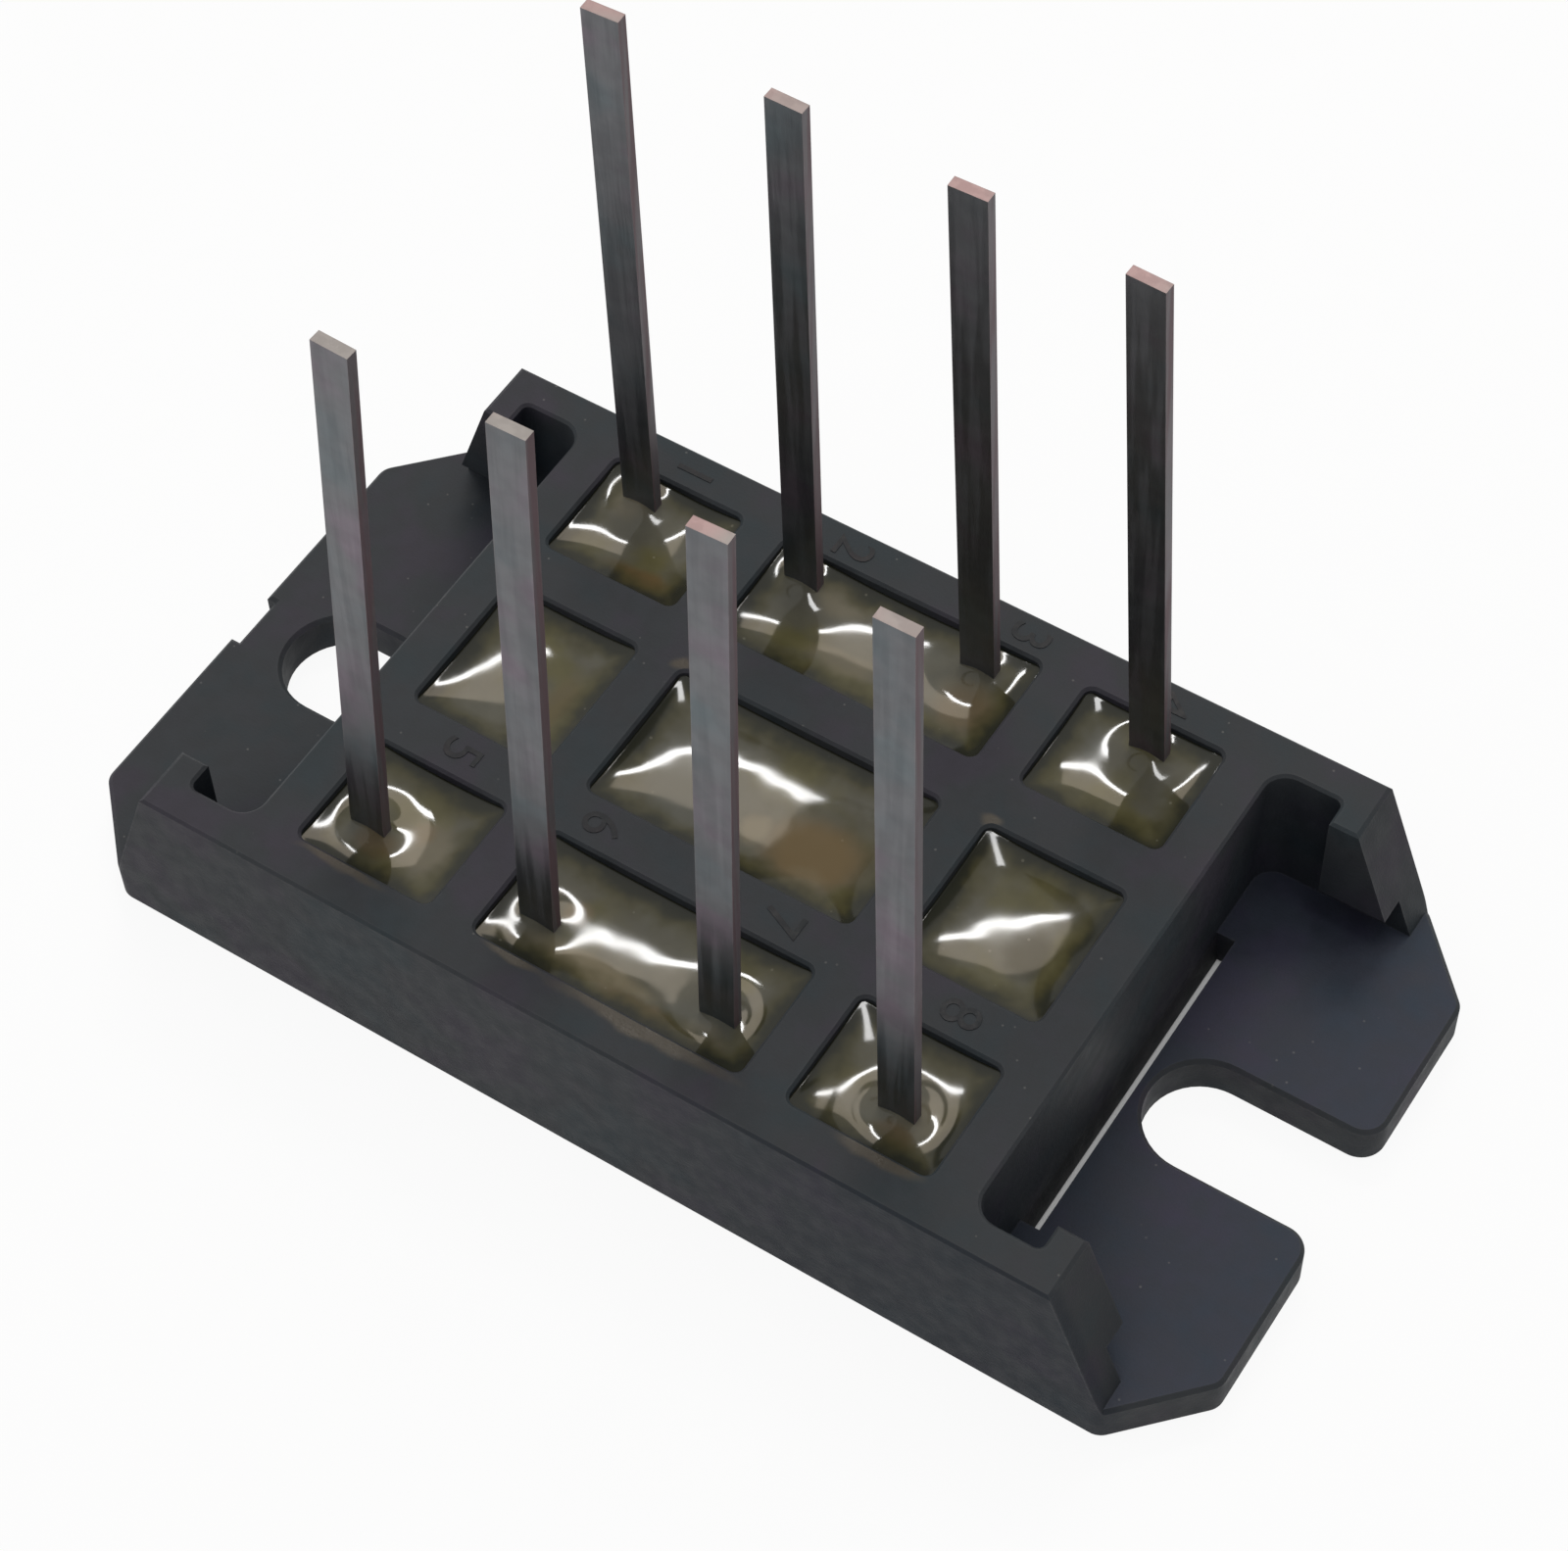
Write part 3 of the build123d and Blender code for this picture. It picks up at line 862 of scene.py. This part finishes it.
def silicon_die():
    finish, tree, place = start_finish("silicon_die")
    sheen = clouds(tree, place, 1.5, 2.0)
    colour = lay_over(tree, fade(tree, sheen, 0.35, 0.65), blue_silicon, violet_silicon)
    grid = clouds(tree, place, 0.15, 2.0)
    close_finish(tree, {
        "Base Color": colour,
        "Metallic": 0.4,
        "Roughness": fade(tree, grid, 0.3, 0.7, 0.15, 0.25),
        "Normal": bumps(tree, grid, 0.002, 0.5),
    })
    return finish


def soft_solder():
    finish, tree, place = start_finish("soft_solder")
    ripple = clouds(tree, place, 0.6, 4.0)
    colour = lay_over(tree, fade(tree, ripple, 0.35, 0.65), cool_solder, warm_solder)
    close_finish(tree, {
        "Base Color": colour,
        "Metallic": 1.0,
        "Roughness": fade(tree, ripple, 0.3, 0.7, 0.25, 0.45),
        "Normal": bumps(tree, ripple, 0.03, 0.8),
    })
    return finish


die_names = [f"diode_{number}" for number in range(1, 5)]
dress(silicon_die(), *die_names)
dress(soft_solder(), "die_solder", "strap_solder", "lead_solder")

# %% [markdown]
# ## The resin's surface
# Liquid resin wets every wall and every lead and climbs them a little before it sets. The
# climb dies away with distance, like the edge of water in a glass, so it can be written as a
# sum of fading terms: one for each wall of a window and one for each lead. A low random
# ripple is added, because a cast surface is never quite true. The CAD solid has nearly the
# same level and climb, but made of a few flat slopes. Here a fine grid of points makes it
# smooth, which is what the highlights need.

# %% Where the leads stand
same_height = 0.01           # corners this close to the frame's top lie level with it


def lead_centres():
    """The middle of each lead where it leaves the frame, read from the CAD, in millimetres."""
    centres = []
    for name in lead_names:
        corners = [v.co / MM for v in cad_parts[name].data.vertices]
        ring = [corner for corner in corners if abs(corner.z - top) < same_height]
        xs = [corner.x for corner in ring]
        ys = [corner.y for corner in ring]
        centres.append(((min(xs) + max(xs)) / 2, (min(ys) + max(ys)) / 2))
    return centres


lead_places = lead_centres()
print("leads at", [tuple(round(side, 2) for side in place) for place in lead_places])

# %% The height of the resin
window_columns = ((-13.5, 7.5), (0.0, 14.6), (13.5, 7.5))    # middle and size along X
window_rows = ((-10.15, 6.5), (0.0, 8.2), (10.15, 6.5))      # middle and size along Y
resin_level = 9.3            # far from every wall
wall_climb = 0.5             # how high the resin climbs one wall
wall_reach = 1.3             # the climb falls to about a third over this distance
lead_rises = (0.46, 0.44, 0.40, 0.48, 0.36, 0.21, 0.24, 0.38)    # at the edge of each lead
lead_reach = 0.95            # the same for the climb at a lead
lead_core = 0.5              # keeps the climb rounded under the lead
lead_edge = 1.07             # distance at which a lead's rise is reached, the core included
resin_limit = 1.1            # the climbs together lift no point by more than this
ripple_height = 0.004
ripple_size = 1.3


def wall_distances(x, y, window):
    """How far a point of a window is from its left, right, near and far walls."""
    (x_middle, x_size), (y_middle, y_size) = window
    left = x - (x_middle - x_size / 2)
    right = (x_middle + x_size / 2) - x
    near = y - (y_middle - y_size / 2)
    far = (y_middle + y_size / 2) - y
    return [max(distance, 0.0) for distance in (left, right, near, far)]


def lead_rise(x, y):
    """How much the leads lift the resin. Each was wetted a little differently."""
    rise = 0.0
    for (lead_x, lead_y), edge_rise in zip(lead_places, lead_rises):
        distance = math.hypot(x - lead_x, y - lead_y, lead_core)
        rise += edge_rise * math.exp((lead_edge - distance) / lead_reach)
    return rise


def resin_height(x, y, window):
    """The resin's height at a point of a window, in millimetres."""
    climb = sum(wall_climb * math.exp(-gap / wall_reach) for gap in wall_distances(x, y, window))
    rise = climb + lead_rise(x, y)
    ripple = ripple_height * noise.noise(Vector((x, y, 0.0)) / ripple_size)
    return resin_level + resin_limit * math.tanh(rise / resin_limit) + ripple


middle_window = (window_columns[1], window_rows[1])
left_wall = window_columns[1][0] - window_columns[1][1] / 2
print("resin in the middle window:", round(resin_height(0.0, 0.0, middle_window), 3), "mm")
print("and at its left wall:", round(resin_height(left_wall, 0.0, middle_window), 3), "mm")

# %% [markdown]
# ## Pouring the casting
# Each window gets a plug: a fine grid on top, straight sides and a flat bottom. The plugs
# stand on one block that fills the cavity below the bars, around the straps and dies. The
# sides sit a hair inside the plastic, so no gap shows at the walls.

# %% Plugs and block
grid_step = 0.13             # between the points of a plug's top
wall_overlap = 0.03          # how far a plug reaches into the plastic
bar_depth = 2.5              # how far the bars reach down from the frame's top
plug_sink = 0.1              # how far a plug reaches below the bars
block_overlap = 0.05         # and how far the block reaches up around it
plug_foot = top - bar_depth - plug_sink
block_head = plug_foot + block_overlap
block_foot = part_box("plus_strip")[1].z / MM
cavity = (34.5, 26.8)        # its size along X and Y


def add_plug(window, points, faces):
    """Adds one window's plug to the lists of points and faces."""
    (x_middle, x_size), (y_middle, y_size) = window
    x_count = round(x_size / grid_step)
    y_count = round(y_size / grid_step)
    xs = np.linspace(-1, 1, x_count + 1) * (x_size / 2 + wall_overlap) + x_middle
    ys = np.linspace(-1, 1, y_count + 1) * (y_size / 2 + wall_overlap) + y_middle
    first = len(points)
    points.extend((x, y, resin_height(x, y, window)) for y in ys for x in xs)
    row = x_count + 1
    for j in range(y_count):
        for i in range(x_count):
            corner = first + j * row + i
            faces.append((corner, corner + 1, corner + row + 1, corner + row))
    front = [first + i for i in range(row)]
    right = [first + j * row + x_count for j in range(1, y_count + 1)]
    back = [first + y_count * row + i for i in reversed(range(x_count))]
    left = [first + j * row for j in reversed(range(1, y_count))]
    rim = front + right + back + left
    foot = len(points)
    points.extend((points[corner][0], points[corner][1], plug_foot) for corner in rim)
    for k in range(len(rim)):
        after = (k + 1) % len(rim)
        faces.append((rim[k], foot + k, foot + after, rim[after]))
    faces.append(tuple(foot + k for k in reversed(range(len(rim)))))


def add_block(points, faces):
    """Adds the block of resin below the bars."""
    first = len(points)
    x, y = cavity[0] / 2, cavity[1] / 2
    for z in (block_foot, block_head):
        points.extend(((-x, -y, z), (x, -y, z), (x, y, z), (-x, y, z)))
    sides = ((0, 1, 5, 4), (1, 2, 6, 5), (2, 3, 7, 6), (3, 0, 4, 7))
    faces.extend(tuple(first + corner for corner in side) for side in sides)
    faces.append((first + 3, first + 2, first + 1, first))
    faces.append((first + 4, first + 5, first + 6, first + 7))


casting_points = []
casting_faces = []
casting_gaps = []            # how far each point is from the nearest wall
for column in window_columns:
    for line in window_rows:
        before = len(casting_points)
        add_plug((column, line), casting_points, casting_faces)
        for x, y, z in casting_points[before:]:
            casting_gaps.append(min(wall_distances(x, y, (column, line))))
add_block(casting_points, casting_faces)
casting_gaps.extend([0.0] * (len(casting_points) - len(casting_gaps)))
casting_mesh = bpy.data.meshes.new("resin_casting")
casting_mesh.from_pydata([metres(*point) for point in casting_points], [], casting_faces)
for face in casting_mesh.polygons:
    face.use_smooth = face.normal.z > 0.7        # the tops only
casting = put_in_scene("resin_casting", casting_mesh)
gap_of_points = casting_mesh.attributes.new("wall_gap", "FLOAT", "POINT")
gap_of_points.data.foreach_set("value", casting_gaps)
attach(casting, "root")
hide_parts("resin")
print("casting:", len(casting_mesh.polygons), "faces")

# %% [markdown]
# ## What shows through the resin
# The resin is clear enough to show that something lies in it: pale solder, brown copper, and
# dark gaps between them. Real glass-like resin would need many light bounces, and the parts
# would be a blur anyway. So the depth is painted as soft patches, each a round mask with a
# fading rim, over an olive ground that drifts in tint. Some light and shade is painted in as
# well: a dark rim along the walls is painted shade, and a few patches are painted shade and
# sheen, as the table below says.

# %% Olive casting resin
olive = (0.087, 0.082, 0.060, 1)
grey_olive = (0.086, 0.085, 0.068, 1)
yellow_olive = (0.090, 0.081, 0.035, 1)
# Painted shade: tones down the lamps' sheen in the right middle window.
painted_shade_olive = (0.022, 0.020, 0.006, 1)
cream = (0.165, 0.140, 0.090, 1)
brown = (0.100, 0.066, 0.026, 1)
light_brown = (0.138, 0.099, 0.050, 1)
# Painted shade at the walls: a nearly black rim, and an amber one that is partly the dark frame
# seen through thin resin, partly painted shade.
wall_shade = (0.018, 0.019, 0.013, 1)
amber_and_shade_edge = (0.048, 0.043, 0.016, 1)
amber_and_shade_gap = (1.8, 0.7)       # distance from a wall at which the amber starts and is full
shade_gap = (1.05, 0.25)     # and the same for the dark shade at the wall itself
skin_dust = (0.4, 0.38, 0.3, 1)
# Each patch: colour, middle X and Y, half width along X and Y, and how strongly it shows.
resin_patches = (
    (grey_olive, -3.5, -0.5, 3.2, 2.8, 0.8),
    (light_brown, 3.6, -1.2, 2.9, 2.4, 0.95),
    (cream, 0.4, -1.3, 0.9, 1.0, 0.8),
    (cream, 3.9, -2.4, 1.1, 0.6, 0.3),
    (yellow_olive, 6.3, -3.0, 1.3, 1.2, 0.9),
    # Partly solder seen through the resin, partly a painted sheen below this window's highlight.
    (cream, -1.8, -11.9, 3.8, 0.9, 0.85),
    (brown, 1.2, -12.5, 2.6, 0.6, 0.8),
    (cream, 4.6, -12.4, 1.5, 0.9, 0.5),
    (light_brown, -3.9, -9.7, 0.8, 0.9, 0.6),
    (cream, -12.0, -10.4, 1.8, 1.8, 0.5),
    (brown, -14.2, -11.6, 1.2, 0.9, 0.6),
    (light_brown, -12.6, -9.9, 0.7, 0.9, 0.6),
    (cream, 15.4, -11.0, 1.2, 1.6, 0.35),
    (brown, 14.6, -12.2, 1.2, 0.9, 0.7),
    (yellow_olive, -10.8, -1.0, 1.6, 2.6, 0.9),
    (brown, -11.6, -0.6, 0.9, 2.4, 0.4),
    (yellow_olive, 16.2, -0.4, 1.0, 3.2, 0.9),
    # Painted shade that tones down the lamps' sheen in this window.
    (painted_shade_olive, 14.8, -0.6, 1.3, 1.7, 0.85),
    (cream, -15.5, 11.7, 1.5, 1.2, 0.5),
    (brown, -12.6, 7.9, 2.2, 0.9, 0.95),
    (yellow_olive, 0.6, 7.9, 5.6, 1.0, 0.9),
    (cream, -3.2, 12.0, 1.8, 1.2, 0.45),
    (cream, -1.4, 9.0, 2.2, 0.8, 0.5),
    (cream, 4.8, 10.4, 1.8, 1.0, 0.35),
    (light_brown, 5.2, 9.6, 1.7, 1.6, 0.7),
    (yellow_olive, 14.6, 8.0, 2.6, 1.0, 0.9),
)


def olive_resin():
    finish, tree, place = start_finish("olive_resin")
    tints = use_group(tree, tint_group, place, {
        "Cloud Size": 5.0,
        "Plain Tint": olive,
        "Cool Tint": grey_olive,
        "Warm Tint": yellow_olive,
    })
    colour = tints["Colour"]
    for patch_colour, *patch_place, strength in resin_patches:
        mask = patch_mask(tree, place, *patch_place)
        colour = lay_thin(tree, mask, strength, colour, patch_colour)
    # Towards a wall the resin turns amber, partly the dark frame seen through thin resin and
    # partly painted shade, and then nearly black, which is painted shade along the wall.
    gap = put(tree, "Attribute", attribute_name="wall_gap").outputs["Fac"]
    uneven = fade(tree, clouds(tree, place, 1.6), 0.3, 0.7, -0.25, 0.25)
    gap = calc(tree, "ADD", gap, uneven)
    colour = lay_over(tree, fade(tree, gap, *amber_and_shade_gap, 0.0, 0.80), colour, amber_and_shade_edge)
    colour = lay_over(tree, fade(tree, gap, *shade_gap, 0.0, 0.90), colour, wall_shade)
    dust = use_group(tree, dust_group, place, {"Speck Size": 0.6, "Reach": 1.0 * MM})
    colour = lay_thin(tree, dust["Specks"], 0.15, colour, skin_dust)
    swirls = clouds(tree, place, 2.4, 2.0)
    close_finish(tree, {
        "Base Color": colour,
        "Roughness": fade(tree, swirls, 0.3, 0.7, 0.05, 0.09),
        "IOR": 1.52,
        "Normal": bumps(tree, swirls, 0.002, 0.5),
    })
    return finish


casting_mesh.materials.append(olive_resin())
print("olive resin with", len(resin_patches), "patches")

# %% [markdown]
# ## Pin numbers
# Such modules have their pins numbered on the frame, in small raised figures beside the leads.
# They are made as text, turned into a mesh, and laid on the bars. They stand up by less than
# a tenth of a millimetre, so they are made readable by a smoother skin and by painted shade:
# their colour is darker, standing in for the shade that outlines a raised figure.

# %% Raised figures
figure_size = 2.9            # type size, of which a figure is about two thirds high
figure_rise = 0.08           # the upper half of it stands out of the frame's top
figure_curve_steps = 4
# Each row: its figures, where they stand along X, and where the row lies along Y.
back_rim = ("1234", (-13.5, -4.2, 5.8, 13.5), 14.5)
front_bar = ("5678", (-13.5, -5.5, 4.5, 14.0), -5.5)


def figure_shade_plastic():
    """The same plastic, smoother, as polished steel has moulded it, and painted darker as shade.
    """
    finish, tree, place = start_finish("figure_shade_plastic")
    # Painted shade: tints darker than the frame's, for the shade that outlines a figure.
    tints = use_group(tree, tint_group, place, {
        "Cloud Size": 1.2,
        "Plain Tint": (0.014, 0.015, 0.018, 1),
        "Cool Tint": (0.011, 0.014, 0.017, 1),
        "Warm Tint": (0.018, 0.016, 0.019, 1),
    })
    grain = use_group(tree, grain_group, place, {"Grain Size": 0.1, "Fibre Share": 0.2})
    close_finish(tree, {
        "Base Color": tints["Colour"],
        "Roughness": fade(tree, tints["Clouds"], 0.25, 0.75, 0.34, 0.5),
        "Specular IOR Level": 0.2,
        "Normal": bumps(tree, grain["Height"], 0.008, 0.6),
    })
    return finish


def raised_figure(figure, x, y, finish):
    """One moulded figure on the frame's top, as a mesh piece."""
    text = bpy.data.curves.new("figure_text", "FONT")
    text.body = figure
    text.size = figure_size * MM
    text.align_x = "CENTER"
    text.align_y = "CENTER"
    text.extrude = figure_rise * MM / 2
    text.resolution_u = figure_curve_steps
    shape = bpy.data.objects.new("figure_text", text)
    mesh = bpy.data.meshes.new_from_object(shape)
    mesh.name = "pin_figure_" + figure
    bpy.data.objects.remove(shape)
    bpy.data.curves.remove(text)
    turn = Quaternion((0, 0, 1), -math.pi / 2).to_matrix().to_4x4()
    mesh.transform(turn)
    for vertex in mesh.vertices:
        vertex.co += metres(x, y, top)
    mesh.materials.append(finish)
    piece = put_in_scene("pin_figure_" + figure, mesh)
    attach(piece, "root")


figure_finish = figure_shade_plastic()
for figures, places, y in (back_rim, front_bar):
    for figure, x in zip(figures, places):
        raised_figure(figure, x, y, figure_finish)
    print("pin figures:", figures)
